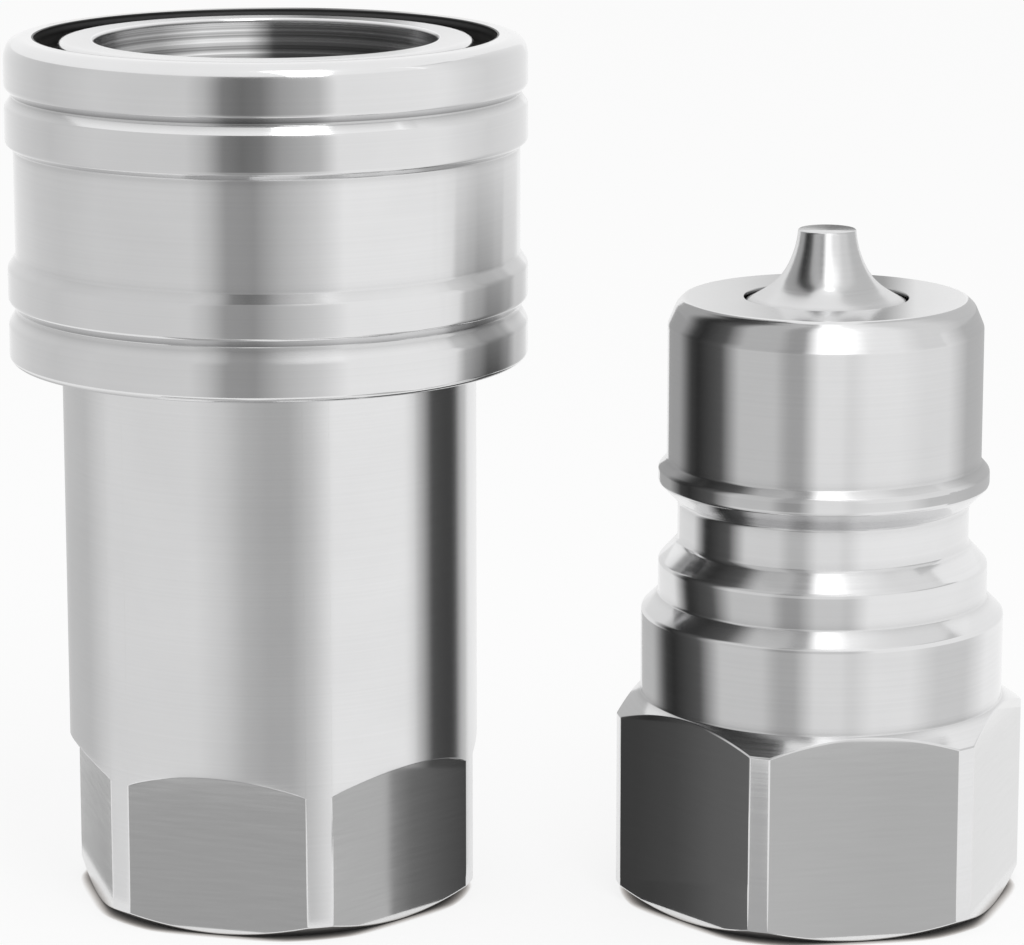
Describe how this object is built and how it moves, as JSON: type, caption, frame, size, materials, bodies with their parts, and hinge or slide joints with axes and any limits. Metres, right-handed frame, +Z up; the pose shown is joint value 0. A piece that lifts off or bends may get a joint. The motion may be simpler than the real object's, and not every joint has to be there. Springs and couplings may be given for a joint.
{
  "type": "hydraulic quick coupler",
  "caption": "Uncoupled quick coupler pair for hydraulic hose: a socket with a ball-locking sleeve and a plug, each with a sprung poppet valve, a hexagon foot and a threaded port.",
  "frame": {"origin": "centre of the socket's base, on the socket's axis", "axes": "+X from the socket to the plug, +Y away from the viewer, +Z up along both axes"},
  "size_m": [0.1019, 0.0516, 0.087],
  "materials": {
    "zinc_steel": "turned steel with a bright clear plating",
    "spring_steel": "dark drawn spring wire",
    "ball_steel": "polished",
    "seal_rubber": "matt",
    "backup_plastic": "smooth"
  },
  "bodies": {
    "body": {"rear_body": "zinc_steel", "front_body": "zinc_steel", "body_o_ring": "seal_rubber", "sleeve_spring": "spring_steel", "sleeve_stop_ring": "spring_steel", "plug_seal_o_ring": "seal_rubber", "backup_ring": "backup_plastic", "socket_valve_spring": "spring_steel", "socket_valve_guide": "zinc_steel", "plug_body": "zinc_steel", "plug_valve_spring": "spring_steel", "plug_valve_guide": "zinc_steel", "plug_retaining_ring": "spring_steel"},
    "sleeve": {"sleeve": "zinc_steel"},
    "socket_valve": {"socket_valve": "zinc_steel", "socket_valve_seal": "seal_rubber"},
    "plug_valve": {"plug_valve": "zinc_steel", "plug_valve_seal": "seal_rubber"},
    "ball_1": {"ball_1": "ball_steel"},
    "ball_2": {"ball_2": "ball_steel"},
    "ball_3": {"ball_3": "ball_steel"},
    "ball_4": {"ball_4": "ball_steel"},
    "ball_5": {"ball_5": "ball_steel"},
    "ball_6": {"ball_6": "ball_steel"},
    "ball_7": {"ball_7": "ball_steel"},
    "ball_8": {"ball_8": "ball_steel"},
    "ball_9": {"ball_9": "ball_steel"},
    "ball_10": {"ball_10": "ball_steel"}
  },
  "joints": [
    {"name": "sleeve_slide", "type": "slide", "parent": "body", "child": "sleeve", "axis": [0, 0, -1], "range_m": [0, 0.007], "stiffness_N_per_m": 3000, "springref_m": -0.004, "deforming": ["sleeve_spring"]},
    {"name": "socket_valve_slide", "type": "slide", "parent": "body", "child": "socket_valve", "axis": [0, 0, -1], "range_m": [0, 0.0066], "stiffness_N_per_m": 2500, "springref_m": -0.004, "deforming": ["socket_valve_spring"]},
    {"name": "plug_valve_slide", "type": "slide", "parent": "body", "child": "plug_valve", "axis": [0, 0, -1], "range_m": [0, 0.0066], "stiffness_N_per_m": 2500, "springref_m": -0.004, "deforming": ["plug_valve_spring"]},
    {"name": "ball_1_slide", "type": "slide", "parent": "body", "child": "ball_1", "axis": [1, 0, 0], "range_m": [0, 0.00196]},
    {"name": "ball_2_slide", "type": "slide", "parent": "body", "child": "ball_2", "axis": [0.809, 0.5878, 0], "range_m": [0, 0.00196]},
    {"name": "ball_3_slide", "type": "slide", "parent": "body", "child": "ball_3", "axis": [0.309, 0.9511, 0], "range_m": [0, 0.00196]},
    {"name": "ball_4_slide", "type": "slide", "parent": "body", "child": "ball_4", "axis": [-0.309, 0.9511, 0], "range_m": [0, 0.00196]},
    {"name": "ball_5_slide", "type": "slide", "parent": "body", "child": "ball_5", "axis": [-0.809, 0.5878, 0], "range_m": [0, 0.00196]},
    {"name": "ball_6_slide", "type": "slide", "parent": "body", "child": "ball_6", "axis": [-1, 0, 0], "range_m": [0, 0.00196]},
    {"name": "ball_7_slide", "type": "slide", "parent": "body", "child": "ball_7", "axis": [-0.809, -0.5878, 0], "range_m": [0, 0.00196]},
    {"name": "ball_8_slide", "type": "slide", "parent": "body", "child": "ball_8", "axis": [-0.309, -0.9511, 0], "range_m": [0, 0.00196]},
    {"name": "ball_9_slide", "type": "slide", "parent": "body", "child": "ball_9", "axis": [0.309, -0.9511, 0], "range_m": [0, 0.00196]},
    {"name": "ball_10_slide", "type": "slide", "parent": "body", "child": "ball_10", "axis": [0.809, -0.5878, 0], "range_m": [0, 0.00196]}
  ],
  "couplings": [
    {"joint": "ball_1_slide", "follows": "sleeve_slide", "ratio": 0.28},
    {"joint": "ball_2_slide", "follows": "sleeve_slide", "ratio": 0.28},
    {"joint": "ball_3_slide", "follows": "sleeve_slide", "ratio": 0.28},
    {"joint": "ball_4_slide", "follows": "sleeve_slide", "ratio": 0.28},
    {"joint": "ball_5_slide", "follows": "sleeve_slide", "ratio": 0.28},
    {"joint": "ball_6_slide", "follows": "sleeve_slide", "ratio": 0.28},
    {"joint": "ball_7_slide", "follows": "sleeve_slide", "ratio": 0.28},
    {"joint": "ball_8_slide", "follows": "sleeve_slide", "ratio": 0.28},
    {"joint": "ball_9_slide", "follows": "sleeve_slide", "ratio": 0.28},
    {"joint": "ball_10_slide", "follows": "sleeve_slide", "ratio": 0.28}
  ]
}
